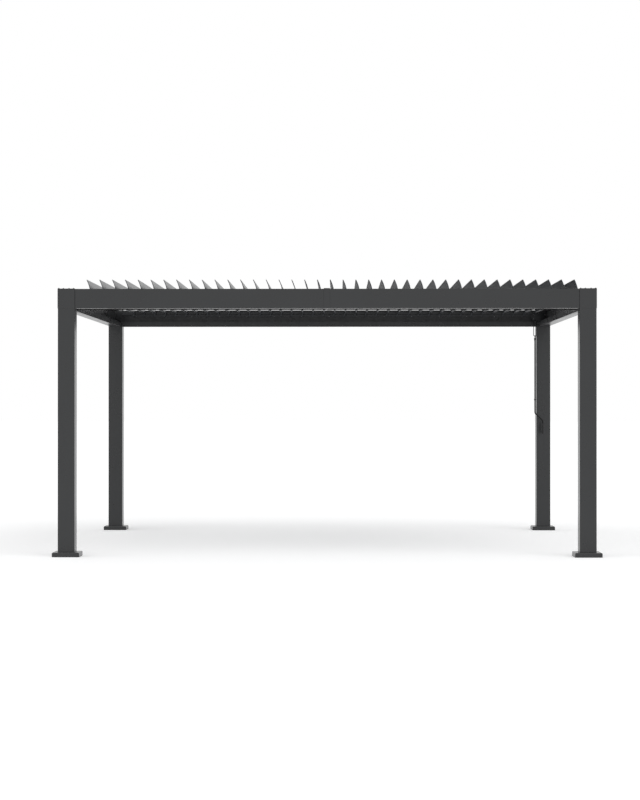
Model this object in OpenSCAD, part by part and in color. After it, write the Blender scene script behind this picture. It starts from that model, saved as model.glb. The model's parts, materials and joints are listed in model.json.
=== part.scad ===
// Louvered pergola: four posts on covered base plates, a rectangular frame of gutter
// beams, and a roof of tilting louvres that one hand crank turns together.
// Millimetres. The origin is on the ground at the middle of the four posts, the front
// of the pergola faces -Y and +Z is up. The louvres are drawn at the tilt of the photo.

/* [Frame] */
// Width over the outer faces of the posts
frame_w = 4800; // [4600:50:5000]
// Depth over the outer faces of the posts
frame_d = 3920; // [2600:10:4200]
// Height from the ground to the top of the beams
frame_h = 2390; // [2200:10:2600]

/* [Posts] */
// Side of the square posts
post_side = 150; // [140:1:160]
// Wall of the post profile
post_wall = 2.5; // [2:0.5:4]
// Outer corner radius of the post profile
post_corner = 4; // [2:1:5]
// Thickness of the cap plates on the corners
cap_thick = 3; // [2:1:6]
// How far the corner castings stand out from the outer faces of the posts
corner_proud = 2; // [1:0.5:4]
// Wall of the castings' spigots, which stand in the posts
spigot_wall = 4; // [3:0.5:6]
// Diameter of the drain that leads from the gutter into each post
drain_d = 50; // [40:2:60]

/* [Base] */
// Side of the square base plates
plate_side = 204; // [196:2:220]
// Thickness of the base plates
plate_thick = 6; // [5:1:10]
// Distance between anchor holes, along each side
anchor_spacing = 176; // [172:1:184]
// Diameter of the anchor holes
anchor_hole = 12; // [10:1:13]
// Height of the foot socket inside each post
socket_h = 90; // [60:5:150]
// Wall of the foot socket
socket_wall = 4; // [3:0.5:6]
// Side of the square base covers
skirt_side = 244; // [236:2:260]
// Height of the base covers
skirt_h = 41; // [34:1:60]
// Wall of the base covers
skirt_wall = 2.5; // [2:0.5:4]

/* [Beams] */
// Height of the beam's outer face
beam_h = 174; // [160:2:200]
// Width of the closed box at the outside of the beam
box_w = 66; // [56:1:72]
// Distance from the beam's outer face to the inner face of the gutter's lip
beam_w = 126; // [118:1:134]
// Wall of the beam profile
beam_wall = 2.5; // [2:0.5:4]
// Height of the gutter's floor over the underside of the box
floor_up = 9; // [6:1:14]
// Height of the lip that closes the gutter
lip_h = 48; // [40:1:60]
// Width of the return at the top of the lip
lip_return = 8; // [5:1:12]
// Drop of the drip edge below the beam
drip_h = 8; // [3:1:10]
// Chamfer along the lower outer edge of the beam
beam_chamfer = 3; // [2:0.5:8]
// Gap between the two halves of a long beam
beam_seam = 1; // [0.5:0.5:3]
// Width of the cover over that gap
splice_w = 54; // [40:2:80]
// Thickness of the front cover on top of the beam
splice_top = 6; // [2:0.5:8]
// Wall of the cover elsewhere
splice_wall = 1.5; // [1:0.5:3]

/* [Louvres] */
// Number of louvres
louvre_count = 39; // [36:1:39]
// How far a closed louvre's tip reaches past the next pivot
louvre_overlap = 6.9; // [6:0.1:8]
// Rise of the tip above the pivot when the louvre is closed
tip_rise = 20; // [19:0.5:22]
// Sheet thickness of the louvre
sheet = 2; // [1.5:0.1:2.2]
// Height of the bow in the louvre's web
web_bow = 6; // [4:0.5:8]
// Outer radius of the tube along the louvre's edge
tube_r = 8; // [7:0.5:8]
// Inner radius of that tube
tube_bore = 5; // [4:0.5:5.5]
// Height of the rain fin above the pivot
fin_top = 10.5; // [9.5:0.5:11]
// Length of the drip hook at the tip
hook_h = 6; // [4:0.5:7]
// Tilt of the louvres at rest, from closed
rest_tilt = 66.5; // [0:0.5:80.5]
// Tilt of the louvres when they stand fully open, from closed
full_tilt = 80.5; // [70:0.5:81]
// Depth of the pivot line below the top of the beams
pivot_drop = 31; // [28:1:34]
// Distance from the post's inner face to the first louvre's closed tip
tip_gap = 6.5; // [5:0.5:10]
// Distance from the last pivot to the post's inner face on the right
last_gap = 4.8; // [4:0.1:12]
// Thickness of the end caps
end_cap = 5; // [3:0.5:8]

/* [Linkage] */
// Radius of the pivot pins
pivot_pin_r = 4; // [3:0.5:4.5]
// Radial clearance of every pin in its hole
pin_play = 0.3; // [0.2:0.05:0.5]
// Distance from the box wall to the near face of the pivot rail's web
rail_reach = 27; // [24:1:32]
// Wall of the pivot rail
rail_wall = 5; // [4:0.5:6]
// Depth of the pivot rail's web
rail_h = 30; // [26:1:34]
// Drop of the rail's flange, which is screwed to the beam
flange_drop = 23; // [16:1:26]
// How far the pivot rails reach past the posts' inner faces, onto the corners
rail_past = 14; // [12:1:18]
// Gap between a louvre's end cap and the rail
end_gap = 7; // [5:0.5:10]
// Distance from the pivot to the linkage pin
arm_r = 34; // [32:0.5:36]
// Half width of the linkage arms
arm_half = 7; // [6:0.5:8]
// Thickness of the linkage arms
arm_thick = 5; // [4:0.5:6]
// Radius of the linkage pins
link_pin_r = 3; // [2.5:0.5:4]
// Height of the control bar
bar_h = 16; // [14:1:16]
// Thickness of the control bar
bar_thick = 5; // [4:0.5:6]
// Gap between the arms and the control bar
bar_gap = 3; // [2:0.5:4]
// Distance from the rear ends of the louvres to the linkage arms
arm_inset = 22; // [20:1:30]
// Distance of the drive lever's shaft beyond the post's inner face
drive_out = 45; // [44:1:46]

/* [Crank] */
// Distance of the crank from the inner face of the right posts, towards the middle
crank_in = 27; // [22:1:30]
// Distance of the crank in front of the rear right post
crank_front = 110; // [106:1:130]
// Radius of the wire of the gearbox eye
eye_wire = 3.5; // [3:0.5:5]
// Half width of the eye, at the middle of the wire
eye_half = 15; // [13:1:18]
// Length of the eye, from the gearbox to its lowest point
eye_len = 165; // [140:5:200]
// Radius of the crank rod
rod_r = 7.5; // [6:0.5:8.5]
// Radius of the hook's bend
hook_r = 12; // [11:0.5:15]
// Length of the socket that holds the hook on the rod
socket_len = 30; // [24:1:40]
// Length of the straight crank rod below that socket
rod_len = 770; // [600:10:900]
// Sideways step of the crank
crank_step = 82; // [70:1:84]
// Bend radius of the rod's centre line at that step
bend_r = 30; // [24:1:36]
// Radius of the grip
grip_r = 14; // [12:0.5:15]
// Length of the grip
grip_len = 112; // [100:2:150]

/* [Hidden] */
$fn = 48;
half_w = frame_w / 2;
half_d = frame_d / 2;
post_x = half_w - post_side / 2;
post_y = half_d - post_side / 2;
inner_x = half_w - post_side;
inner_y = half_d - post_side;
beam_z = frame_h - beam_h;
box_wall_y = half_d - box_w;
pivot_z = frame_h - pivot_drop;
louvre_pitch = (2 * inner_x - tip_gap - last_gap - louvre_overlap) / louvre_count;
louvre_reach = louvre_pitch + louvre_overlap;
first_x = -inner_x + tip_gap + louvre_reach;
rail_y = box_wall_y - rail_reach;
louvre_end = rail_y - end_gap;
arm_y = louvre_end - arm_inset;
bar_y = arm_y + arm_thick + bar_gap;
drive_x = inner_x + drive_out;
crank_x = inner_x - crank_in;
crank_y = inner_y - crank_front;
closed_turn = -rest_tilt;
open_turn = full_tilt - rest_tilt;
arm_turn = -(closed_turn + open_turn) / 2;
skirt_room = 0.5;
socket_room = 0.3;
CORNERS = [[-1, -1], [1, -1], [-1, 1], [1, 1]];
function two(n) = str(n < 10 ? "0" : "", n);
LOUVRES = [for (i = [1:louvre_count]) str("louvre_", two(i))];
frame_grey = [0.27, 0.275, 0.285];
louvre_grey = [0.42, 0.43, 0.45];
dark_grey = [0.16, 0.165, 0.17];

// Square with round corners, from straight strips and quarter rounds
module round_square(side, r) {
    square([side - 2 * r, side], center = true);
    square([side, side - 2 * r], center = true);
    for (c = CORNERS)
        translate([c[0] * (side / 2 - r), c[1] * (side / 2 - r)]) circle(r = r);
}

// Hollow post from the base plate to the underside of the gutter corner
module post(sx, sy) {
    color(frame_grey)
    translate([sx * post_x, sy * post_y, plate_thick])
        linear_extrude(beam_z - plate_thick)
            difference() {
                round_square(post_side, post_corner);
                square(post_side - 2 * post_wall, center = true);
            }
}

// Base plate with four anchor holes and the socket that the post slips over
module base_plate() {
    socket_side = post_side - 2 * post_wall - 2 * socket_room;
    difference() {
        translate([-plate_side / 2, -plate_side / 2, 0])
            cube([plate_side, plate_side, plate_thick]);
        for (c = CORNERS)
            translate([c[0] * anchor_spacing / 2, c[1] * anchor_spacing / 2, -1])
                cylinder(h = plate_thick + 2, d = anchor_hole);
    }
    translate([0, 0, plate_thick])
        linear_extrude(socket_h)
            difference() {
                square(socket_side, center = true);
                square(socket_side - 2 * socket_wall, center = true);
            }
}

module base_plates() {
    color(dark_grey)
    for (c = CORNERS)
        translate([c[0] * post_x, c[1] * post_y, 0]) base_plate();
}

// Hollow cover around the foot of a post, with a chamfered upper edge
module base_cover() {
    top_hole = post_side + 2 * skirt_room;
    chamfer = 5;
    difference() {
        union() {
            linear_extrude(skirt_h - chamfer) round_square(skirt_side, 8);
            translate([0, 0, skirt_h - chamfer])
                rotate([0, 0, 45])
                    cylinder(h = chamfer, d1 = skirt_side * sqrt(2) - 6,
                             d2 = (skirt_side - 2 * chamfer) * sqrt(2) - 6, $fn = 4);
        }
        translate([0, 0, -1])
            linear_extrude(skirt_h - skirt_wall - chamfer + 1)
                square(skirt_side - 2 * skirt_wall, center = true);
        translate([0, 0, skirt_h - skirt_wall - chamfer - 1])
            linear_extrude(chamfer + 1)
                square(skirt_side - 2 * skirt_wall - 2 * chamfer, center = true);
        translate([0, 0, -1])
            linear_extrude(skirt_h + 2) square(top_hole, center = true);
    }
}

module base_covers() {
    color(frame_grey)
    for (c = CORNERS)
        translate([c[0] * post_x, c[1] * post_y, 0]) base_cover();
}

// Outline of a corner: two legs of box width along the outer faces, grown by a margin.
// The corner's outer edges are at +x and +y, its middle is the middle of the post.
module corner_outline(grow) {
    low = -post_side / 2;
    high = post_side / 2 + grow;
    leg = post_side / 2 - box_w - grow;
    polygon([[low, leg], [leg, leg], [leg, low], [high, low], [high, high], [low, high]]);
}

// Corner casting: floor with a drain, spigot in the post, thick walls beside the
// gutter, and the short lips that join the lips of the two beams
module corner_casting() {
    floor_top = floor_up + beam_wall;
    lip_at = post_side / 2 - beam_w;
    lip_far = lip_at + beam_wall;
    spigot_side = post_side - 2 * post_wall - 2 * socket_room;
    spigot_h = 60;
    difference() {
        union() {
            translate([-post_side / 2, -post_side / 2, 0])
                cube([post_side + corner_proud, post_side + corner_proud, floor_top]);
            linear_extrude(beam_h) corner_outline(corner_proud);
            translate([-post_side / 2, lip_at, 0])
                cube([lip_far + post_side / 2, beam_wall, lip_h]);
            translate([lip_at, -post_side / 2, 0])
                cube([beam_wall, lip_far + post_side / 2, lip_h]);
            translate([-spigot_side / 2, -spigot_side / 2, -spigot_h])
                cube([spigot_side, spigot_side, spigot_h + 1]);
        }
        translate([-spigot_side / 2 + spigot_wall, -spigot_side / 2 + spigot_wall, -spigot_h - 1])
            cube([spigot_side - 2 * spigot_wall, spigot_side - 2 * spigot_wall, spigot_h + 1]);
        translate([post_side / 2 - (box_w + beam_w) / 2 - 1, post_side / 2 - (box_w + beam_w) / 2 - 1, -1])
            cylinder(h = floor_top + 2, d = drain_d);
    }
}

module at_corners(z) {
    for (c = CORNERS)
        translate([c[0] * post_x, c[1] * post_y, z])
            mirror([c[0] < 0 ? 1 : 0, 0, 0]) mirror([0, c[1] < 0 ? 1 : 0, 0]) children();
}

module corner_castings() {
    color(frame_grey) at_corners(beam_z) corner_casting();
}

// Cap plate on a corner casting, held by screws with raised heads
module corner_cap() {
    screw_in = 9;
    screw_r = 6;
    screw_h = 5;
    edge = post_side / 2 + corner_proud - screw_in;
    low = -post_side / 2 + screw_in;
    middle = (edge + low) / 2;
    gap = post_side / 6;
    linear_extrude(cap_thick) corner_outline(corner_proud);
    for (p = [[edge, edge], [low, edge], [edge, low], [middle - gap, edge], [middle + gap, edge],
              [edge, middle - gap], [edge, middle + gap]])
        translate([p[0], p[1], cap_thick - 1])
            cylinder(h = screw_h + 1, r1 = screw_r, r2 = screw_r * 0.7);
}

module corner_caps() {
    color(dark_grey) at_corners(frame_h) corner_cap();
}

// Beam profile: closed box outside, open gutter inside with a floor that lies a little
// higher than the box, and a drip edge under the lip.
// x runs inward from the outer face, y up from the underside of the box.
module beam_section() {
    difference() {
        polygon([[beam_chamfer, 0], [box_w, 0], [box_w, beam_h], [0, beam_h], [0, beam_chamfer]]);
        polygon([[beam_chamfer + 1, beam_wall], [box_w - beam_wall, beam_wall],
                 [box_w - beam_wall, beam_h - beam_wall], [beam_wall, beam_h - beam_wall],
                 [beam_wall, beam_chamfer + 1]]);
    }
    translate([box_w - 1, floor_up]) square([beam_w - box_w, beam_wall]);
    translate([beam_w - beam_wall, -drip_h]) square([beam_wall, drip_h + lip_h]);
    translate([beam_w - lip_return, lip_h - beam_wall]) square([lip_return, beam_wall]);
}

// A length of beam along +X, its outer face at y = 0 and its inside towards +y
module beam(length) {
    rotate([90, 0, 90]) linear_extrude(length) beam_section();
}

// Half of a long beam, from the post's inner face to the seam in the middle
module long_beam(sx, sy) {
    color(frame_grey)
    mirror([sx < 0 ? 1 : 0, 0, 0]) mirror([0, sy > 0 ? 1 : 0, 0])
        translate([beam_seam / 2, -half_d, beam_z]) beam(inner_x - beam_seam / 2);
}

module side_beam(sx) {
    color(frame_grey)
    mirror([sx > 0 ? 1 : 0, 0, 0])
        translate([-half_w, inner_y, beam_z]) rotate([0, 0, -90]) beam(2 * inner_y);
}

// Cover over the seam of a long beam: down the outer face, over the top and a little
// way down the inside of the box, where it ends above the pivot rail
module splice(top) {
    room = 0.3;
    tail = 36;
    low = beam_chamfer + 2;
    far = box_w + room + splice_wall;
    near = -room - splice_wall;
    bevel = top * 0.7;
    rotate([90, 0, 90])
        translate([0, 0, -splice_w / 2])
            linear_extrude(splice_w)
                difference() {
                    polygon([[near, low], [far, low], [far, beam_h + top - bevel],
                             [far - bevel, beam_h + top], [near + bevel, beam_h + top],
                             [near, beam_h + top - bevel]]);
                    translate([-room, 0]) square([box_w + 2 * room, beam_h]);
                    translate([box_w, 0]) square([20, beam_h - tail]);
                }
}

module beam_splices() {
    color(frame_grey)
    for (sy = [-1, 1])
        mirror([0, sy > 0 ? 1 : 0, 0]) translate([0, -half_d, beam_z])
            splice(sy < 0 ? splice_top : splice_wall);
}

// Places of the pivots along X, and of the drive lever after the last of them
function pivot_x(i) = first_x + i * louvre_pitch;

// Z-shaped rail on the box wall, its web drilled for every pivot
module pivot_rail(sy) {
    web_half = inner_x + rail_past;
    foot_half = inner_x - 1;
    foot_z = pivot_z + 12 - rail_h;
    mirror([0, sy < 0 ? 1 : 0, 0])
    difference() {
        rotate([90, 0, 90]) {
            translate([rail_y, foot_z, -web_half])
                linear_extrude(2 * web_half) square([rail_wall, rail_h]);
            translate([rail_y + 1, foot_z, -foot_half])
                linear_extrude(2 * foot_half) {
                    square([rail_reach - 1, rail_wall]);
                    translate([rail_reach - 1 - rail_wall, -flange_drop])
                        square([rail_wall, flange_drop + rail_wall]);
                }
        }
        for (i = [0:louvre_count - 1])
            translate([pivot_x(i), rail_y - 1, pivot_z])
                rotate([-90, 0, 0]) cylinder(h = rail_wall + 2, r = pivot_pin_r + pin_play, $fn = 24);
    }
}

module pivot_rails() {
    color(dark_grey) for (sy = [-1, 1]) pivot_rail(sy);
}

// Fixed flashing along a side beam, over the gutter, as far as the louvres leave room
module side_flashing(edge) {
    flashing_z = frame_h - 6;
    skin = 2;
    end_room = 2;
    hem = 12;
    wall_x = half_w - box_w;
    rotate([90, 0, 0]) translate([0, 0, -inner_y + end_room])
        linear_extrude(2 * (inner_y - end_room)) {
            translate([edge, flashing_z - skin]) square([wall_x - edge, skin]);
            translate([edge, flashing_z - hem]) square([skin, hem]);
            translate([wall_x - skin, flashing_z - hem]) square([skin, hem]);
        }
}

module side_flashings() {
    sweep_room = 6.3;
    color(frame_grey) {
        side_flashing(pivot_x(louvre_count - 1) + fin_top + sweep_room);
        mirror([1, 0, 0]) side_flashing(inner_x + 2);
    }
}

// Louvre profile when closed: x runs from the pivot towards the tip at -x, y up.
// The web is a strip of a circle through the tube and the tip.
web_start = [-4, 6];
web_end = [-louvre_reach, tip_rise];
web_chord = norm(web_end - web_start);
web_radius = web_chord * web_chord / (8 * web_bow) + web_bow / 2;
web_dir = (web_end - web_start) / web_chord;
web_normal = [web_dir[1], -web_dir[0]];
web_centre = (web_start + web_end) / 2 - web_normal * (web_radius - web_bow);

function web_angle(p) = atan2(p[1] - web_centre[1], p[0] - web_centre[0]);
function web_point(depth, a) = web_centre + (web_radius - depth) * [cos(a), sin(a)];
function web_arc(depth, a0, a1, steps = 14) =
    [for (k = [0:steps]) web_point(depth, a0 + (a1 - a0) * k / steps)];
web_from = web_angle(web_start);
web_to = web_angle(web_end);
hook_x = -louvre_reach + sheet;
web_low_to = acos((hook_x - web_centre[0]) / (web_radius - sheet));

// Bowed web with the drip hook at its tip
module louvre_web() {
    hook_low = tip_rise - hook_h;
    polygon(concat(web_arc(0, web_from, web_to),
                   [[-louvre_reach, hook_low], [hook_x, hook_low]],
                   web_arc(sheet, web_low_to, web_from)));
}

// Rib under the web at each end, where the end cap grips the sheet
module cap_rib() {
    polygon(concat(web_arc(sheet / 2, web_from - 0.5, web_to - 1),
                   web_arc(3 * sheet, web_to - 1, web_from - 0.5)));
}

// Blade of a closed louvre along Y: tube, web and rain fin, capped at both ends
module louvre_blade() {
    blade_half = louvre_end - end_cap;
    pin_root = 3;
    rotate([90, 0, 0])
    difference() {
        union() {
            translate([0, 0, -louvre_end]) linear_extrude(2 * louvre_end) louvre_web();
            translate([0, 0, -louvre_end]) cylinder(h = 2 * louvre_end, r = tube_r);
            translate([-sheet / 2, 0, -louvre_end]) cube([sheet, fin_top, 2 * louvre_end]);
            for (end = [-louvre_end, louvre_end - end_cap])
                translate([0, 0, end]) linear_extrude(end_cap) cap_rib();
            for (side = [0, 1])
                mirror([0, 0, side]) translate([0, 0, louvre_end - pin_root])
                    cylinder(h = pin_root + end_gap + rail_wall + 3, r = pivot_pin_r);
        }
        translate([0, 0, -blade_half]) cylinder(h = 2 * blade_half, r = tube_bore);
    }
}

// Arm that hangs from a pivot to the control bar, with its headed linkage pin
module link_arm() {
    boss_r = tube_r + 1.5;
    pin_len = bar_gap + bar_thick + 3;
    head_r = link_pin_r + 2;
    head_h = 2;
    rotate([0, arm_turn, 0])
    translate([0, arm_thick, 0]) rotate([90, 0, 0]) {
        linear_extrude(arm_thick) {
            circle(r = boss_r);
            translate([-arm_half, -arm_r]) square([2 * arm_half, arm_r]);
            translate([0, -arm_r]) circle(r = arm_half);
        }
        translate([0, -arm_r, -pin_len]) cylinder(h = pin_len + 1, r = link_pin_r);
        translate([0, -arm_r, -pin_len - head_h + 1]) cylinder(h = head_h, r = head_r);
    }
}

module louvre(i) {
    color(louvre_grey)
    translate([pivot_x(i), 0, pivot_z]) {
        rotate([0, rest_tilt, 0]) louvre_blade();
        translate([0, arm_y, 0]) link_arm();
    }
}

// Where a linkage pin stands from its pivot at rest
pin_dx = -arm_r * sin(arm_turn);
pin_dz = -arm_r * cos(arm_turn);

module control_bar() {
    end_room = 10;
    left = first_x + pin_dx - end_room;
    right = drive_x + pin_dx + end_room;
    color(dark_grey)
    difference() {
        translate([left, bar_y, pivot_z + pin_dz - bar_h / 2])
            cube([right - left, bar_thick, bar_h]);
        for (x = concat([for (i = [0:louvre_count - 1]) pivot_x(i)], [drive_x]))
            translate([x + pin_dx, bar_y - 1, pivot_z + pin_dz])
                rotate([-90, 0, 0]) cylinder(h = bar_thick + 2, r = link_pin_r + pin_play, $fn = 24);
    }
}

// Gearbox beside the last louvre: a low part under the louvre that takes the crank,
// and a high part over the side gutter that turns the drive lever.
gear_y0 = crank_y - 30;
gear_y1 = crank_y + 60;
gear_low = pivot_z - 21;
gear_top = pivot_z + 11;
gear_floor = pivot_z - 84;
shaft_r = 6;
eye_shaft_r = 5;

module crank_gearbox() {
    low_left = crank_x - 30;
    wall_x = half_w - box_w;
    step_x = inner_x + 12;
    color(dark_grey)
    difference() {
        translate([0, gear_y1, 0]) rotate([90, 0, 0])
            linear_extrude(gear_y1 - gear_y0)
                polygon([[low_left, gear_floor], [wall_x, gear_floor], [wall_x, gear_top],
                         [step_x + 8, gear_top], [step_x, gear_top - 8], [step_x, gear_low],
                         [low_left, gear_low]]);
        translate([crank_x, crank_y, gear_floor - 1])
            cylinder(h = 41, r = eye_shaft_r + pin_play);
        translate([drive_x, gear_y1 - 40, pivot_z])
            rotate([-90, 0, 0]) cylinder(h = 41, r = shaft_r + pin_play);
    }
}

module drive_lever() {
    shaft_len = arm_y - gear_y1 + 38;
    color(dark_grey)
    translate([drive_x, arm_y, pivot_z]) {
        link_arm();
        translate([0, -shaft_len, 0]) rotate([-90, 0, 0])
            cylinder(h = shaft_len + 1, r = shaft_r);
    }
}

// Long loop of wire, upright in the XZ plane, its top at z = 0
module wire_loop(len, half, wire) {
    for (side = [-1, 1])
        translate([side * half, 0, -len + half - 1])
            cylinder(h = len - 2 * half + 2, r = wire - 0.15);
    translate([0, 0, -half]) rotate([90, 0, 0]) half_ring(half, wire, 180);
    translate([0, 0, -len + half]) rotate([-90, 0, 0]) half_ring(half, wire, 180);
}

module half_ring(half, wire, turn) {
    rotate_extrude(angle = turn) translate([half, 0]) circle(r = wire);
}

// Straight rod from a point down along -z, a hair thinner than the bends it enters
module rod(len) {
    translate([0, 0, -len - 1]) cylinder(h = len + 2, r = rod_r - 0.15);
}

// Bend of the rod in the XZ plane, from straight down to a slant towards +x
module rod_bend(turn) {
    translate([bend_r, 0, 0]) rotate([90, 0, 0]) rotate([0, 0, 180])
        rotate_extrude(angle = turn) translate([bend_r, 0]) circle(r = rod_r);
}

// Crank: the gearbox eye, and hanging in it the hook, rod, sideways step and grip
module crank_handle() {
    hang_play = 0.3;
    eye_top = gear_floor - 10;
    eye_low = eye_top - eye_len;
    hook_z = eye_low + 2 * eye_wire + hang_play - hook_r;
    rod_top = hook_z - hook_r - socket_len;
    step_z = rod_top - rod_len;
    slant = 45;
    bend_side = bend_r * (1 - cos(slant));
    bend_fall = bend_r * sin(slant);
    slant_len = (crank_step - 2 * bend_side) / sin(slant);
    grip_z = step_z - 2 * bend_fall - slant_len * cos(slant);
    collar_up = 125;
    color(dark_grey)
    translate([crank_x, crank_y, 0]) {
        translate([0, 0, eye_top - 2]) cylinder(h = gear_floor - eye_top + 38, r = eye_shaft_r);
        translate([0, 0, eye_top]) wire_loop(eye_len, eye_half, eye_wire);
        translate([0, 0, hook_z]) rotate([0, -90, 0]) rotate([0, 0, -180])
            half_ring(hook_r, eye_wire, 290);
        translate([0, 0, rod_top]) cylinder(h = socket_len + 1, r = rod_r + 2.5);
        translate([0, 0, rod_top]) rod(rod_len);
        translate([0, 0, step_z + collar_up]) cylinder(h = 14, r = rod_r + 3);
        translate([0, 0, step_z]) rod_bend(slant);
        translate([bend_side, 0, step_z - bend_fall]) rotate([0, -slant, 0])
            rod(slant_len);
        translate([crank_step, 0, grip_z]) rotate([0, 180, 0]) rod_bend(slant);
        translate([crank_step, 0, grip_z]) rod(30);
        translate([crank_step, 0, grip_z - 16 - grip_len]) cylinder(h = grip_len, r = grip_r);
    }
}

post(-1, -1);  // post_front_left
post(1, -1);  // post_front_right
post(-1, 1);  // post_rear_left
post(1, 1);  // post_rear_right
base_plates();
base_covers();
corner_castings();
corner_caps();
long_beam(-1, -1);  // beam_front_left
long_beam(1, -1);  // beam_front_right
long_beam(-1, 1);  // beam_rear_left
long_beam(1, 1);  // beam_rear_right
side_beam(-1);  // beam_side_left
side_beam(1);  // beam_side_right
beam_splices();
pivot_rails();
side_flashings();
crank_gearbox();
control_bar();
drive_lever();
crank_handle();
for (i = [0:louvre_count - 1])
    louvre(i);
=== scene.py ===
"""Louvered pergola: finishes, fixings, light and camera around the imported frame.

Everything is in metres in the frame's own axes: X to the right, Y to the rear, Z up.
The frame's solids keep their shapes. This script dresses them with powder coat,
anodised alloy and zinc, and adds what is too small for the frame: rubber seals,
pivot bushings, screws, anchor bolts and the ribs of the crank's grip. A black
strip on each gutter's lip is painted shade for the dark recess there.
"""

from __future__ import annotations

import json
import logging
import math
from dataclasses import dataclass
from enum import Enum

import bmesh
import bpy
from mathutils import Matrix, Vector

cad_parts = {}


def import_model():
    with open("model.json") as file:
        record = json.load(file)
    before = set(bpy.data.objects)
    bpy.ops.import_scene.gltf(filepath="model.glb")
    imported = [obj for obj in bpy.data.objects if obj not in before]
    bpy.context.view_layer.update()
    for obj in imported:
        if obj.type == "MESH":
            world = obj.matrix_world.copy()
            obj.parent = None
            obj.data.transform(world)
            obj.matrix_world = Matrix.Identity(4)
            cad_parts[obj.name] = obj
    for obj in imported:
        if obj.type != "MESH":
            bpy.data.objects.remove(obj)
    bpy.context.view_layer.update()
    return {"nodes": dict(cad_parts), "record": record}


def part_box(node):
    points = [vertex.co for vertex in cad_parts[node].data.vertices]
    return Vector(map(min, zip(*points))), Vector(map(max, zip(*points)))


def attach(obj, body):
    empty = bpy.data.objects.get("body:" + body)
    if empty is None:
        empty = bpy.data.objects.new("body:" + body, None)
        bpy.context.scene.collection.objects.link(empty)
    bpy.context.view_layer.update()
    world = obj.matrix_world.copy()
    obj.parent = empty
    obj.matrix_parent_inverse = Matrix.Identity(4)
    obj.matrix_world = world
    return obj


log = logging.getLogger("pergola")

Colour = tuple[float, float, float]
NodeTools = tuple[
    bpy.types.Material, bpy.types.Nodes, bpy.types.NodeLinks, bpy.types.ShaderNode
]

FRAME_BODY = "frame"
POSTS = ("post_front_left", "post_front_right", "post_rear_left", "post_rear_right")
BEAMS = (
    "beam_front_left", "beam_front_right", "beam_rear_left", "beam_rear_right",
    "beam_side_left", "beam_side_right",
)
RAIL_REACH = 0.027


# Finishes


@dataclass(frozen=True)
class PowderCoat:
    """A baked powder coat: fine texture, soft gloss and faint dust.

    Attributes:
        name: Name of the material.
        colour: Linear base colour.
        roughness: Mean roughness of the coat.
        specular: Specular level of the coat.
        grain: Height of the fine texture, in metres.
        mottle: How much the colour wanders, as a share of itself.
    """

    name: str
    colour: Colour
    roughness: float = 0.30
    specular: float = 0.3
    grain: float = 0.00008
    mottle: float = 0.06

    def build(self) -> bpy.types.Material:
        """Makes the material.

        Returns:
            The new material.
        """
        material, nodes, links, shader = new_material(self.name)
        shader.inputs["Metallic"].default_value = 0.0
        shader.inputs["IOR"].default_value = 1.5
        shader.inputs["Specular IOR Level"].default_value = self.specular
        coords = nodes.new("ShaderNodeTexCoord")

        cloud = nodes.new("ShaderNodeTexNoise")
        cloud.inputs["Scale"].default_value = 2.6
        cloud.inputs["Detail"].default_value = 5.0
        cloud.inputs["Roughness"].default_value = 0.55
        links.new(coords.outputs["Object"], cloud.inputs["Vector"])

        ramp = nodes.new("ShaderNodeValToRGB")
        ramp.color_ramp.elements[0].position = 0.3
        ramp.color_ramp.elements[1].position = 0.72
        ramp.color_ramp.elements[0].color = tinted(self.colour, 1.0 - self.mottle)
        ramp.color_ramp.elements[1].color = tinted(self.colour, 1.0 + self.mottle)
        links.new(cloud.outputs["Fac"], ramp.inputs["Fac"])
        links.new(ramp.outputs["Color"], shader.inputs["Base Color"])

        gloss = nodes.new("ShaderNodeMapRange")
        gloss.inputs["To Min"].default_value = self.roughness - 0.04
        gloss.inputs["To Max"].default_value = self.roughness + 0.06
        links.new(cloud.outputs["Fac"], gloss.inputs["Value"])
        links.new(gloss.outputs["Result"], shader.inputs["Roughness"])

        peel = nodes.new("ShaderNodeTexNoise")
        peel.inputs["Scale"].default_value = 420.0
        peel.inputs["Detail"].default_value = 2.0
        links.new(coords.outputs["Object"], peel.inputs["Vector"])
        bump = nodes.new("ShaderNodeBump")
        bump.inputs["Strength"].default_value = 0.3
        bump.inputs["Distance"].default_value = self.grain
        links.new(peel.outputs["Fac"], bump.inputs["Height"])
        links.new(bump.outputs["Normal"], shader.inputs["Normal"])
        return material


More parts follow.
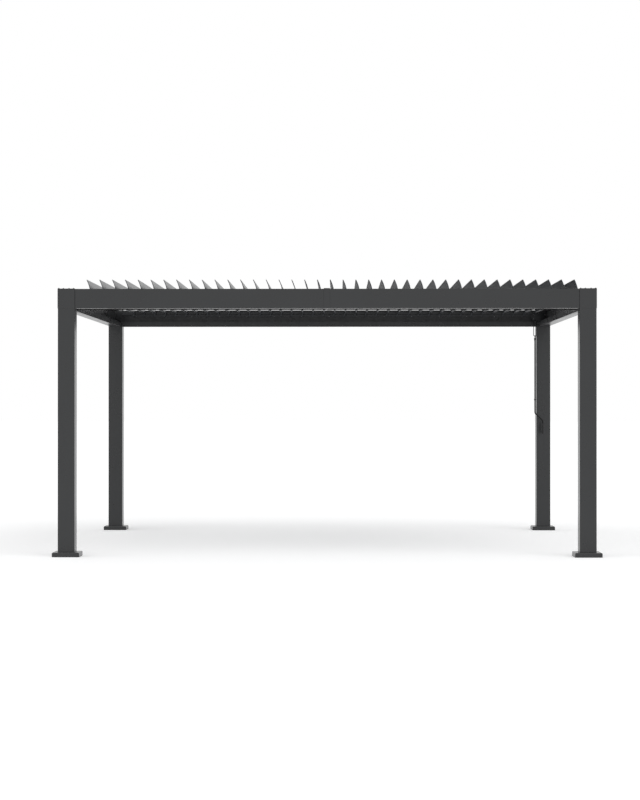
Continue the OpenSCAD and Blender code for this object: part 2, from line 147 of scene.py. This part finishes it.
@dataclass(frozen=True)
class BareMetal:
    """Zinc plate or anodised alloy with faint lines from drawing or rolling.

    Attributes:
        name: Name of the material.
        colour: Linear base colour.
        roughness: Mean roughness.
        metallic: 1 for bare metal, less where a film dulls it.
        stretch: Scale of the lines along X, Y and Z.
    """

    name: str
    colour: Colour
    roughness: float = 0.34
    metallic: float = 1.0
    stretch: tuple[float, float, float] = (2.0, 160.0, 160.0)

    def build(self) -> bpy.types.Material:
        """Makes the material.

        Returns:
            The new material.
        """
        material, nodes, links, shader = new_material(self.name)
        shader.inputs["Metallic"].default_value = self.metallic
        coords = nodes.new("ShaderNodeTexCoord")
        mapping = nodes.new("ShaderNodeMapping")
        mapping.inputs["Scale"].default_value = self.stretch
        links.new(coords.outputs["Object"], mapping.inputs["Vector"])
        lines = nodes.new("ShaderNodeTexNoise")
        lines.inputs["Scale"].default_value = 3.0
        lines.inputs["Detail"].default_value = 4.0
        links.new(mapping.outputs["Vector"], lines.inputs["Vector"])
        ramp = nodes.new("ShaderNodeValToRGB")
        ramp.color_ramp.elements[0].position = 0.3
        ramp.color_ramp.elements[1].position = 0.7
        ramp.color_ramp.elements[0].color = tinted(self.colour, 0.86)
        ramp.color_ramp.elements[1].color = tinted(self.colour, 1.12)
        links.new(lines.outputs["Fac"], ramp.inputs["Fac"])
        links.new(ramp.outputs["Color"], shader.inputs["Base Color"])
        gloss = nodes.new("ShaderNodeMapRange")
        gloss.inputs["To Min"].default_value = self.roughness - 0.06
        gloss.inputs["To Max"].default_value = self.roughness + 0.1
        links.new(lines.outputs["Fac"], gloss.inputs["Value"])
        links.new(gloss.outputs["Result"], shader.inputs["Roughness"])
        return material


@dataclass(frozen=True)
class Moulding:
    """Black moulded rubber or nylon, with a fine even grain.

    Attributes:
        name: Name of the material.
        colour: Linear base colour.
        roughness: Roughness of the moulding.
        specular: Specular level of the moulding.
    """

    name: str
    colour: Colour
    roughness: float = 0.6
    specular: float = 0.3

    def build(self) -> bpy.types.Material:
        """Makes the material.

        Returns:
            The new material.
        """
        material, nodes, links, shader = new_material(self.name)
        shader.inputs["Roughness"].default_value = self.roughness
        shader.inputs["Specular IOR Level"].default_value = self.specular
        coords = nodes.new("ShaderNodeTexCoord")
        speck = nodes.new("ShaderNodeTexNoise")
        speck.inputs["Scale"].default_value = 900.0
        speck.inputs["Detail"].default_value = 1.0
        links.new(coords.outputs["Object"], speck.inputs["Vector"])
        ramp = nodes.new("ShaderNodeValToRGB")
        ramp.color_ramp.elements[0].position = 0.35
        ramp.color_ramp.elements[1].position = 0.65
        ramp.color_ramp.elements[0].color = tinted(self.colour, 0.8)
        ramp.color_ramp.elements[1].color = tinted(self.colour, 1.2)
        links.new(speck.outputs["Fac"], ramp.inputs["Fac"])
        links.new(ramp.outputs["Color"], shader.inputs["Base Color"])
        bump = nodes.new("ShaderNodeBump")
        bump.inputs["Strength"].default_value = 0.25
        bump.inputs["Distance"].default_value = 0.0001
        links.new(speck.outputs["Fac"], bump.inputs["Height"])
        links.new(bump.outputs["Normal"], shader.inputs["Normal"])
        return material


class Finish(Enum):
    """The finishes of the pergola."""

    FRAME = PowderCoat(
        "frame_coat", (0.0205, 0.0215, 0.0227), roughness=0.27, specular=0.5, grain=0.00002
    )
    LOUVRE = PowderCoat(
        "louvre_coat", (0.039, 0.0422, 0.0475), roughness=0.3, specular=0.35, grain=0.000006
    )
    CAP = PowderCoat("cap_coat", (0.010, 0.0105, 0.011), roughness=0.5, specular=0.2)
    CASE = PowderCoat("gear_case", (0.018, 0.0185, 0.02), roughness=0.45, grain=0.0003)
    CRANK = PowderCoat(
        "crank_coat", (0.009, 0.0093, 0.0097), roughness=0.5, specular=0.15, grain=0.00001
    )
    RAIL = BareMetal("rail_alloy", (0.040, 0.041, 0.043), roughness=0.42, metallic=0.7)
    ZINC = BareMetal("plate_steel", (0.44, 0.45, 0.46), roughness=0.36, stretch=(60, 60, 60))
    SCREW = BareMetal("screw_steel", (0.34, 0.345, 0.35), roughness=0.3, stretch=(80, 80, 80))
    # seal_rubber also colours the black strips of painted shade on the gutters' lips.
    SEAL = Moulding("seal_rubber", (0.010, 0.010, 0.011), roughness=0.7)
    NYLON = Moulding("bushing_nylon", (0.020, 0.020, 0.021), roughness=0.4)
    GRIP = Moulding("grip_rubber", (0.016, 0.016, 0.017), roughness=0.55)


def new_material(name: str) -> NodeTools:
    """Makes an empty node material with one principled shader.

    Args:
        name: Name of the material.

    Returns:
        The material, its nodes, its links and the shader.
    """
    material = bpy.data.materials.new(name)
    material.use_nodes = True
    nodes, links = material.node_tree.nodes, material.node_tree.links
    nodes.clear()
    shader = nodes.new("ShaderNodeBsdfPrincipled")
    output = nodes.new("ShaderNodeOutputMaterial")
    links.new(shader.outputs["BSDF"], output.inputs["Surface"])
    return material, nodes, links, shader


def tinted(colour: Colour, factor: float) -> tuple[float, float, float, float]:
    """Scales a colour and adds an alpha of 1."""
    return (colour[0] * factor, colour[1] * factor, colour[2] * factor, 1.0)


class Wardrobe:
    """Builds each finish once and hands it out."""

    def __init__(self) -> None:
        """Starts with no material built."""
        self._built: dict[Finish, bpy.types.Material] = {}

    def get(self, finish: Finish) -> bpy.types.Material:
        """Hands out a finish.

        Args:
            finish: The finish wanted.

        Returns:
            Its material, the same one each time.
        """
        if finish not in self._built:
            self._built[finish] = finish.value.build()
        return self._built[finish]


# Mesh tools


def box_of(node: str) -> tuple[Vector, Vector]:
    """Gives a node's lowest and highest corners at rest."""
    low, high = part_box(node)
    return Vector(low), Vector(high)


def finish_mesh(
    shape: bmesh.types.BMesh,
    name: str,
    body: str,
    material: bpy.types.Material,
    smooth_angle: float = 35.0,
) -> bpy.types.Object:
    """Turns a bmesh into a piece that rides on a body.

    Args:
        shape: The finished bmesh, in the frame's own place.
        name: Name of the piece.
        body: Body that the piece rides on.
        material: Material of the piece.
        smooth_angle: Edges flatter than this many degrees are shaded smooth.

    Returns:
        The new object.
    """
    bmesh.ops.recalc_face_normals(shape, faces=shape.faces)
    limit = math.radians(smooth_angle)
    for face in shape.faces:
        face.smooth = True
    for edge in shape.edges:
        if len(edge.link_faces) == 2:
            edge.smooth = edge.calc_face_angle(0.0) < limit
    mesh = bpy.data.meshes.new(name)
    shape.to_mesh(mesh)
    log.info("%s: %d faces on %s", name, len(shape.faces), body)
    shape.free()
    mesh.materials.append(material)
    piece = bpy.data.objects.new(name, mesh)
    bpy.context.scene.collection.objects.link(piece)
    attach(piece, body)
    return piece


def facing(place: Vector, outward: Vector) -> Matrix:
    """Gives the matrix that stands +Z of a shape on a place, along a direction."""
    turn = Vector((0, 0, 1)).rotation_difference(outward.normalized()).to_matrix().to_4x4()
    return Matrix.Translation(place) @ turn


def add_block(shape: bmesh.types.BMesh, low: Vector, high: Vector, rounding: float) -> None:
    """Adds a block between two corners, with rounded edges.

    Args:
        shape: The bmesh to add to.
        low: Lowest corner.
        high: Highest corner.
        rounding: Width of the rounding.
    """
    size = high - low
    place = Matrix.Translation((low + high) / 2) @ Matrix.Diagonal((*size, 1.0))
    made = bmesh.ops.create_cube(shape, size=1.0, matrix=place)
    edges = {edge for vert in made["verts"] for edge in vert.link_edges}
    bmesh.ops.bevel(
        shape, geom=list(edges), offset=rounding, segments=2, affect="EDGES",
        profile=0.5, material=-1,
    )


def add_ring(
    shape: bmesh.types.BMesh,
    place: Vector,
    outward: Vector,
    inner: float,
    outer: float,
    height: float,
    steps: int = 24,
) -> None:
    """Adds a flat ring with a small bevel, spun from its section.

    Args:
        shape: The bmesh to add to.
        place: Middle of the ring's foot.
        outward: Direction that the ring rises in.
        inner: Inner radius.
        outer: Outer radius.
        height: Height of the ring.
        steps: Steps of the spin.
    """
    edge = min(height, outer - inner) * 0.25
    section = [
        (inner, 0.0), (outer, 0.0), (outer, height - edge), (outer - edge, height), (inner, height),
    ]
    base = facing(place, outward)
    points = [shape.verts.new(base @ Vector((x, 0.0, z))) for x, z in section]
    loop = [shape.edges.new((points[k - 1], points[k])) for k in range(len(points))]
    bmesh.ops.spin(
        shape, geom=points + loop, cent=place, axis=outward.normalized(), dvec=(0, 0, 0),
        angle=math.tau, steps=steps, use_merge=True, use_duplicate=False,
    )


def add_hexagon_screw(
    shape: bmesh.types.BMesh, place: Vector, outward: Vector, radius: float, height: float
) -> None:
    """Adds a hexagon head on a washer.

    Args:
        shape: The bmesh to add to.
        place: Point on the surface under the washer.
        outward: Direction that the head faces.
        radius: Radius of the head over its corners.
        height: Height of the head and washer.
    """
    base = facing(place, outward)
    washer = height * 0.24
    bmesh.ops.create_cone(
        shape, cap_ends=True, segments=20, radius1=radius * 1.4, radius2=radius * 1.34,
        depth=washer, matrix=base @ Matrix.Translation((0, 0, washer / 2)),
    )
    bmesh.ops.create_cone(
        shape, cap_ends=True, segments=6, radius1=radius, radius2=radius * 0.93,
        depth=height - washer, matrix=base @ Matrix.Translation((0, 0, (height + washer) / 2)),
    )


def add_button_screw(
    shape: bmesh.types.BMesh, place: Vector, outward: Vector, radius: float, height: float
) -> None:
    """Adds a domed head with a hexagon socket.

    Args:
        shape: The bmesh to add to.
        place: Point on the surface under the head.
        outward: Direction that the head faces.
        radius: Radius of the head.
        height: Height of the head.
    """
    base = facing(place, outward)
    made = bmesh.ops.create_cone(
        shape, cap_ends=True, segments=24, radius1=radius, radius2=radius * 0.62,
        depth=height, matrix=base @ Matrix.Translation((0, 0, height / 2)),
    )
    faces = {face for vert in made["verts"] for face in vert.link_faces}
    tops = [
        face for face in faces
        if (face.calc_center_median() - place).dot(outward.normalized()) > height * 0.9
    ]
    bmesh.ops.inset_region(shape, faces=tops, thickness=radius * 0.2, depth=0.0)
    bmesh.ops.inset_region(shape, faces=tops, thickness=radius * 0.03, depth=-height * 0.5)


# Sub-assemblies


@dataclass
class Coats:
    """Puts a finish on each node of the frame.

    Attributes:
        nodes: The frame's own objects by node name.
        wardrobe: Where the finishes come from.
    """

    nodes: dict[str, bpy.types.Object]
    wardrobe: Wardrobe

    def finish_of(self, node: str) -> Finish:
        """Chooses the finish of a node.

        Args:
            node: Name of the node.

        Returns:
            Its finish.
        """
        if node.startswith("louvre_"):
            return Finish.LOUVRE
        special = {
            "base_plates": Finish.ZINC,
            "corner_caps": Finish.CAP,
            "pivot_rails": Finish.RAIL,
            "control_bar": Finish.RAIL,
            "drive_lever": Finish.RAIL,
            "crank_gearbox": Finish.CASE,
            "crank_handle": Finish.CRANK,
        }
        return special.get(node, Finish.FRAME)

    def dress(self) -> None:
        """Assigns the finishes."""
        for node, thing in self.nodes.items():
            material = self.wardrobe.get(self.finish_of(node))
            thing.data.materials.clear()
            thing.data.materials.append(material)
        log.info("coated %d nodes", len(self.nodes))


@dataclass
class Beams:
    """Trim of the beams: soffits under the gutters, joint seals, and black strips on the gutters' lips that
    are painted shade.

    Attributes:
        wardrobe: Where the finishes come from.
        box_width: Width of the closed box of the beam.
        wall: Wall of the beam profile.
        drip: Drop of the drip edge below the beam.
        soffit: Thickness of the soffit plate.
        seal_proud: How far a joint seal stands out of the beam.
        seal_wide: Width of a joint seal along the beam.
        bead: Width of the bead along a cover's edge.
        shade_strip_wall: Wall of the black strip of painted shade over the lower edge of the gutter's lip.
        shade_strip_drop: How far that strip of painted shade hangs below the lip.
    """

    wardrobe: Wardrobe
    box_width: float = 0.066
    wall: float = 0.0025
    drip: float = 0.008
    soffit: float = 0.0015
    seal_proud: float = 0.0012
    seal_wide: float = 0.005
    bead: float = 0.001
    shade_strip_wall: float = 0.001
    shade_strip_drop: float = 0.0006

    def inward(self, node: str) -> Vector:
        """Gives the direction from a beam's outer face to the middle of the pergola.

        Args:
            node: Name of the beam's node.

        Returns:
            A unit vector along X or Y.
        """
        low, high = box_of(node)
        middle = (low + high) / 2
        if (high - low).x > (high - low).y:
            return Vector((0.0, -math.copysign(1.0, middle.y), 0.0))
        return Vector((-math.copysign(1.0, middle.x), 0.0, 0.0))

    def along(
        self, node: str, near: float, far: float, bottom: float, top: float
    ) -> tuple[Vector, Vector]:
        """Gives the corners of a strip that runs the length of a beam.

        Args:
            node: Name of the beam's node.
            near: Distance of the strip's near side from the outer face.
            far: Distance of its far side from the outer face.
            bottom: Its lowest height above the underside of the box.
            top: Its highest height above the underside of the box.

        Returns:
            Lowest and highest corner.
        """
        low, high = box_of(node)
        inward = self.inward(node)
        axis = 1 if abs(inward.y) > 0.5 else 0
        face = low[axis] if inward[axis] > 0 else high[axis]
        sides = sorted((face + inward[axis] * near, face + inward[axis] * far))
        floor = low.z + self.drip
        first, last = low.copy(), high.copy()
        first[axis], last[axis] = sides
        first.z, last.z = floor + bottom, floor + top
        return first, last

    def trim(self, node: str) -> None:
        """Adds the soffit of one beam and the black strip of painted shade over its gutter's lip.

        Args:
            node: Name of the beam's node.
        """
        low, high = box_of(node)
        axis = 1 if abs(self.inward(node).y) > 0.5 else 0
        width = (high - low)[axis]
        lip = width - self.wall
        side = node.removeprefix("beam_")
        plate = bmesh.new()
        add_block(plate, *self.along(node, self.box_width - 0.0005, lip + 0.0005, 0.0, self.soffit), 0.0003)
        finish_mesh(plate, f"soffit_{side}", FRAME_BODY, self.wardrobe.get(Finish.FRAME))
        # The black strip over the drip lip is painted shade: it stands in for the shade in the gutter's
        # recess.
        strip = bmesh.new()
        corners = self.along(
            node, lip - self.shade_strip_wall, width + self.shade_strip_wall, -self.drip - self.shade_strip_drop, -0.0003
        )
        add_block(strip, *corners, 0.0003)
        finish_mesh(strip, f"drip_painted_shade_{side}", FRAME_BODY, self.wardrobe.get(Finish.SEAL))

    def joint_seal(self, shape: bmesh.types.BMesh, node: str, at_high_end: bool) -> None:
        """Adds the seal where a beam meets its corner: up the outer face and over the top.

        Args:
            shape: The bmesh to add to.
            node: Name of the beam's node.
            at_high_end: True for the end with the larger coordinate.
        """
        low, high = box_of(node)
        inward = self.inward(node)
        run = Vector((1.0, 0.0, 0.0)) if abs(inward.y) > 0.5 else Vector((0.0, 1.0, 0.0))
        axis = 1 if abs(inward.y) > 0.5 else 0
        face = low[axis] if inward[axis] > 0 else high[axis]
        start = Vector((0.0, 0.0, 0.0))
        start[axis] = face
        end = 1 - axis
        start[end] = high[end] - self.seal_wide if at_high_end else low[end]
        floor, top = low.z + self.drip, high.z
        proud = self.seal_proud
        path = [
            start + inward * self.box_width + Vector((0, 0, floor - proud)),
            start - inward * proud + Vector((0, 0, floor - proud)),
            start - inward * proud + Vector((0, 0, top + proud)),
            start + inward * self.box_width + Vector((0, 0, top + proud)),
        ]
        points = [shape.verts.new(place) for place in path]
        line = [shape.edges.new((points[k], points[k + 1])) for k in range(3)]
        swept = bmesh.ops.extrude_edge_only(shape, edges=line)
        moved = [item for item in swept["geom"] if isinstance(item, bmesh.types.BMVert)]
        bmesh.ops.translate(shape, verts=moved, vec=run * self.seal_wide)
        faces = [item for item in swept["geom"] if isinstance(item, bmesh.types.BMFace)]
        bmesh.ops.recalc_face_normals(shape, faces=faces)
        outside = faces[1].normal.dot(inward) < 0
        bmesh.ops.solidify(shape, geom=faces, thickness=proud if outside else -proud)

    def joint_seals(self) -> None:
        """Adds the seals of all eight joints between beams and corners."""
        shape = bmesh.new()
        for row in ("front", "rear"):
            self.joint_seal(shape, f"beam_{row}_left", at_high_end=False)
            self.joint_seal(shape, f"beam_{row}_right", at_high_end=True)
        for side in ("left", "right"):
            for at_high_end in (False, True):
                self.joint_seal(shape, f"beam_side_{side}", at_high_end)
        finish_mesh(shape, "corner_seals", FRAME_BODY, self.wardrobe.get(Finish.SEAL))

    def cover_beads(self) -> None:
        """Adds the bead of sealant along both edges of each splice cover."""
        low, high = box_of("beam_splices")
        shape = bmesh.new()
        for node in ("beam_front_left", "beam_rear_left"):
            first, last = self.along(node, -0.0008, 0.0005, 0.006, high.z - box_of(node)[0].z - 0.016)
            for edge in (low.x - self.bead, high.x):
                add_block(
                    shape, Vector((edge, first.y, first.z)), Vector((edge + self.bead, last.y, last.z)), 0.0002
                )
        finish_mesh(shape, "splice_beads", FRAME_BODY, self.wardrobe.get(Finish.SEAL))

    def build(self) -> None:
        """Adds all trim of the six beams."""
        for node in BEAMS:
            self.trim(node)
        self.joint_seals()
        self.cover_beads()


@dataclass
class Pivots:
    """Bushings in the pivot rails and the screws that hold the rails.

    Attributes:
        joints: The frame's joints by name.
        wardrobe: Where the finishes come from.
        pin: Radius of a louvre's pin.
        flange: Radius of a bushing's flange.
        thick: Thickness of a bushing's flange.
        rail_wall: Wall of the pivot rail.
        screw_step: Distance between rail screws.
        screw_radius: Radius of a rail screw's head.
        screw_height: Height of a rail screw's head.
    """

    pivots: list[Vector]
    wardrobe: Wardrobe
    pin: float = 0.0045
    flange: float = 0.0078
    thick: float = 0.0016
    rail_wall: float = 0.005
    screw_step: float = 0.30
    screw_radius: float = 0.0055
    screw_height: float = 0.0045

    def bushings(self) -> None:
        """Adds a flanged bushing on both faces of the rail at every pivot."""
        low, high = box_of("pivot_rails")
        for name, side in (("front", -1.0), ("rear", 1.0)):
            web = abs(self.inner_face(side))
            shape = bmesh.new()
            for pivot in self.pivots:
                inner = Vector((pivot.x, side * web, pivot.z))
                outer = Vector((pivot.x, side * (web + self.rail_wall), pivot.z))
                add_ring(shape, inner, Vector((0, -side, 0)), self.pin, self.flange, self.thick, 20)
                add_ring(shape, outer, Vector((0, side, 0)), self.pin, self.flange, self.thick, 20)
            finish_mesh(
                shape, f"bushings_{name}", FRAME_BODY, self.wardrobe.get(Finish.NYLON)
            )
        log.info("rails reach from %.3f to %.3f", low.y, high.y)

    def inner_face(self, side: float) -> float:
        """Gives the Y of the rail's inner face on one side, from the beam's box wall."""
        low, high = box_of("pivot_rails")
        outer = high.y if side > 0 else low.y
        return outer - side * RAIL_REACH

    def rail_screws(self) -> None:
        """Adds the hexagon screws along the flanges of both rails."""
        low, high = box_of("pivot_rails")
        shape = bmesh.new()
        count = int((high.x - low.x - 0.1) / self.screw_step)
        start = -count * self.screw_step / 2
        height = low.z + 0.009
        for side in (-1.0, 1.0):
            face = (high.y if side > 0 else low.y) - side * self.rail_wall
            for k in range(count + 1):
                place = Vector((start + k * self.screw_step, face, height))
                add_hexagon_screw(
                    shape, place, Vector((0, -side, 0)), self.screw_radius, self.screw_height
                )
        finish_mesh(shape, "rail_screws", FRAME_BODY, self.wardrobe.get(Finish.SCREW))

    def build(self) -> None:
        """Adds bushings and screws."""
        self.bushings()
        self.rail_screws()


@dataclass
class Feet:
    """Anchor bolts on the base plates, under the covers.

    Attributes:
        wardrobe: Where the finishes come from.
        spacing: Distance between bolts along each side.
        plate: Thickness of the base plates.
        radius: Radius of a bolt's head over its corners.
        height: Height of a bolt's head and washer.
    """

    wardrobe: Wardrobe
    spacing: float = 0.176
    plate: float = 0.006
    radius: float = 0.0094
    height: float = 0.0095

    def build(self) -> None:
        """Adds four bolts at each foot."""
        shape = bmesh.new()
        for node in POSTS:
            low, high = box_of(node)
            middle = (low + high) / 2
            for x in (-1, 1):
                for y in (-1, 1):
                    place = Vector((
                        middle.x + x * self.spacing / 2, middle.y + y * self.spacing / 2, self.plate,
                    ))
                    add_hexagon_screw(shape, place, Vector((0, 0, 1)), self.radius, self.height)
        finish_mesh(shape, "anchor_bolts", FRAME_BODY, self.wardrobe.get(Finish.ZINC))


@dataclass
class Crank:
    """Trim of the crank and its gearbox: grip sleeve, shaft seal and case screws.

    Attributes:
        wardrobe: Where the finishes come from.
        shaft: Radius of the hole for the gearbox's shaft.
        collar: Outer radius of the shaft seal.
        grip_radius: Radius of the grip.
        grip_length: Length of the grip.
        ribs: Number of ribs on the grip.
    """

    wardrobe: Wardrobe
    shaft: float = 0.0056
    collar: float = 0.013
    grip_radius: float = 0.014
    grip_length: float = 0.112
    ribs: int = 9

    def grip(self) -> None:
        """Adds a ribbed sleeve over the grip, turned from one outline."""
        low, high = box_of("crank_handle")
        centre = Vector((high.x - self.grip_radius, (low.y + high.y) / 2, low.z))
        skin = 0.0004
        step = self.grip_length / self.ribs
        outline: list[tuple[float, float]] = [(0.006, -skin), (self.grip_radius - 0.002, -skin)]
        for k in range(self.ribs):
            foot = k * step
            outline += [
                (self.grip_radius + skin, foot + step * 0.14),
                (self.grip_radius + 0.0016, foot + step * 0.3),
                (self.grip_radius + 0.0016, foot + step * 0.7),
                (self.grip_radius + skin, foot + step * 0.86),
            ]
        outline += [(self.grip_radius - 0.002, self.grip_length + skin), (0.006, self.grip_length + skin)]
        shape = bmesh.new()
        points = [shape.verts.new(centre + Vector((x, 0, z))) for x, z in outline]
        edges = [shape.edges.new((points[k], points[k + 1])) for k in range(len(points) - 1)]
        bmesh.ops.spin(
            shape, geom=points + edges, cent=centre, axis=(0, 0, 1), dvec=(0, 0, 0),
            angle=math.tau, steps=32, use_merge=True, use_duplicate=False,
        )
        bmesh.ops.holes_fill(shape, edges=[edge for edge in shape.edges if edge.is_boundary], sides=40)
        finish_mesh(shape, "grip_sleeve", "crank_handle", self.wardrobe.get(Finish.GRIP), 25.0)

    def gearbox(self) -> None:
        """Adds the seal ring under the gearbox and the screws of its case."""
        low, high = box_of("crank_gearbox")
        handle_low, handle_high = box_of("crank_handle")
        middle_y = (handle_low.y + handle_high.y) / 2
        shaft_x = low.x + 0.030
        ring = bmesh.new()
        add_ring(ring, Vector((shaft_x, middle_y, low.z)), Vector((0, 0, -1)), self.shaft, self.collar, 0.004)
        finish_mesh(ring, "shaft_seal", FRAME_BODY, self.wardrobe.get(Finish.SEAL))
        shape = bmesh.new()
        inset = 0.009
        for x in (low.x + inset, high.x - inset):
            for z in (low.z + inset, low.z + 0.063 - inset):
                for side, y in ((-1, low.y), (1, high.y)):
                    add_button_screw(shape, Vector((x, y, z)), Vector((0, side, 0)), 0.0042, 0.003)
        finish_mesh(shape, "case_screws", FRAME_BODY, self.wardrobe.get(Finish.SCREW))

    def build(self) -> None:
        """Adds the grip sleeve and the gearbox's trim."""
        self.grip()
        self.gearbox()


# Stage


@dataclass
class Studio:
    """Floor, light and camera.

    Attributes:
        front: Y of the posts' front faces.
        distance: From the camera to the front faces.
        eye_height: Height of the camera.
        eye_side: How far the camera stands right of the middle.
        yaw: Turn of the camera to the left, in degrees.
        pitch: Turn of the camera upwards, in degrees.
        focal_px: Focal length in pixels of the photo's long side.
        long_side: Long side of the photo, in pixels.
        sensor: Height of the sensor, in millimetres.
        ambient: Strength of the world as a light.
        floor_lift: White added to the floor for the eye and for reflections.
    """

    front: float
    distance: float = 17.13
    eye_height: float = 1.342
    eye_side: float = 0.115
    yaw: float = 0.588
    pitch: float = 0.19
    focal_px: float = 1923.6
    long_side: float = 800.0
    sensor: float = 36.0
    ambient: float = 0.6
    floor_lift: float = 0.22

    def seen_rays(self, nodes: bpy.types.Nodes, links: bpy.types.NodeLinks) -> bpy.types.NodeSocket:
        """Tells the rays of the eye, of reflections and of glass from the others.

        Args:
            nodes: Nodes of the tree.
            links: Links of the tree.

        Returns:
            A socket that is 1 for such a ray.
        """
        path = nodes.new("ShaderNodeLightPath")
        glossy = nodes.new("ShaderNodeMath")
        glossy.operation = "MAXIMUM"
        through = nodes.new("ShaderNodeMath")
        through.operation = "MAXIMUM"
        links.new(path.outputs["Is Camera Ray"], glossy.inputs[0])
        links.new(path.outputs["Is Glossy Ray"], glossy.inputs[1])
        links.new(glossy.outputs["Value"], through.inputs[0])
        links.new(path.outputs["Is Transmission Ray"], through.inputs[1])
        return through.outputs["Value"]

    def floor_material(self) -> bpy.types.Material:
        """Makes the pale floor's material, which keeps the shadow.

        Returns:
            The material.
        """
        material, nodes, links, shader = new_material("pale_floor")
        shader.inputs["Base Color"].default_value = (0.9, 0.9, 0.9, 1.0)
        shader.inputs["Roughness"].default_value = 1.0
        shader.inputs["Specular IOR Level"].default_value = 0.0
        lift = nodes.new("ShaderNodeEmission")
        lift.inputs["Color"].default_value = (1.0, 1.0, 1.0, 1.0)
        lift.inputs["Strength"].default_value = self.floor_lift
        both = nodes.new("ShaderNodeAddShader")
        mix = nodes.new("ShaderNodeMixShader")
        output = nodes["Material Output"]
        links.new(shader.outputs["BSDF"], both.inputs[0])
        links.new(lift.outputs["Emission"], both.inputs[1])
        links.new(self.seen_rays(nodes, links), mix.inputs["Fac"])
        links.new(shader.outputs["BSDF"], mix.inputs[1])
        links.new(both.outputs["Shader"], mix.inputs[2])
        links.new(mix.outputs["Shader"], output.inputs["Surface"])
        return material

    def floor(self) -> bpy.types.Object:
        """Makes the pale floor.

        Returns:
            The floor.
        """
        shape = bmesh.new()
        bmesh.ops.create_grid(shape, x_segments=1, y_segments=1, size=150.0)
        mesh = bpy.data.meshes.new("floor")
        shape.to_mesh(mesh)
        shape.free()
        mesh.materials.append(self.floor_material())
        floor = bpy.data.objects.new("floor", mesh)
        bpy.context.scene.collection.objects.link(floor)
        return floor

    def world(self) -> None:
        """Makes the even studio world, white to the eye and softer as a light."""
        world = bpy.data.worlds.new("studio")
        bpy.context.scene.world = world
        world.use_nodes = True
        nodes, links = world.node_tree.nodes, world.node_tree.links
        nodes.clear()
        output = nodes.new("ShaderNodeOutputWorld")
        mix = nodes.new("ShaderNodeMixShader")
        seen = nodes.new("ShaderNodeBackground")
        seen.inputs["Color"].default_value = (1.0, 1.0, 1.0, 1.0)
        seen.inputs["Strength"].default_value = 1.0
        light = nodes.new("ShaderNodeBackground")
        light.inputs["Color"].default_value = (0.985, 0.992, 1.0, 1.0)
        light.inputs["Strength"].default_value = self.ambient
        links.new(self.seen_rays(nodes, links), mix.inputs["Fac"])
        links.new(light.outputs["Background"], mix.inputs[1])
        links.new(seen.outputs["Background"], mix.inputs[2])
        links.new(mix.outputs["Shader"], output.inputs["Surface"])

    def soft_sun(self, name: str, from_side: Vector, strength: float, spread: float) -> None:
        """Adds a wide soft light from one side.

        Args:
            name: Name of the light.
            from_side: Direction from the pergola towards the light.
            strength: Strength of the light.
            spread: Angle that the light fills, in degrees.
        """
        data = bpy.data.lights.new(name, "SUN")
        data.energy = strength
        data.angle = math.radians(spread)
        lamp = bpy.data.objects.new(name, data)
        lamp.rotation_euler = (-from_side).to_track_quat("-Z", "Y").to_euler()
        bpy.context.scene.collection.objects.link(lamp)

    def camera(self) -> None:
        """Sets the camera where the photo was taken."""
        data = bpy.data.cameras.new("photo_camera")
        data.sensor_fit = "VERTICAL"
        data.sensor_height = self.sensor
        data.lens = self.focal_px / self.long_side * self.sensor
        data.clip_end = 300.0
        camera = bpy.data.objects.new("photo_camera", data)
        camera.location = (self.eye_side, self.front - self.distance, self.eye_height)
        camera.rotation_euler = (
            math.radians(90.0 + self.pitch), 0.0, math.radians(self.yaw),
        )
        bpy.context.scene.collection.objects.link(camera)
        bpy.context.scene.camera = camera

    def build(self) -> None:
        """Makes floor, world, lights and camera."""
        self.floor()
        self.world()
        self.soft_sun("high_front", Vector((0.35, -0.8, 1.0)), 1.0, 60.0)
        self.soft_sun("high_left", Vector((-0.9, -0.5, 1.2)), 0.5, 60.0)
        self.camera()
        log.info("studio ready")


def main() -> None:
    """Loads the frame, dresses it and sets the stage."""
    logging.basicConfig(level=logging.INFO, format="%(name)s: %(message)s")
    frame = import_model()
    wardrobe = Wardrobe()
    Coats(frame["nodes"], wardrobe).dress()
    pivots = [Vector(joint["pos_m"]) for joint in frame["record"]["behaviour"]["joints"]
              if joint["name"].endswith("_tilt")]
    Beams(wardrobe).build()
    Pivots(pivots, wardrobe).build()
    Feet(wardrobe).build()
    Crank(wardrobe).build()
    post_low, _ = box_of("post_front_left")
    Studio(front=post_low.y).build()
    bpy.context.scene.view_settings.view_transform = "Standard"


if __name__ == "__main__":
    main()
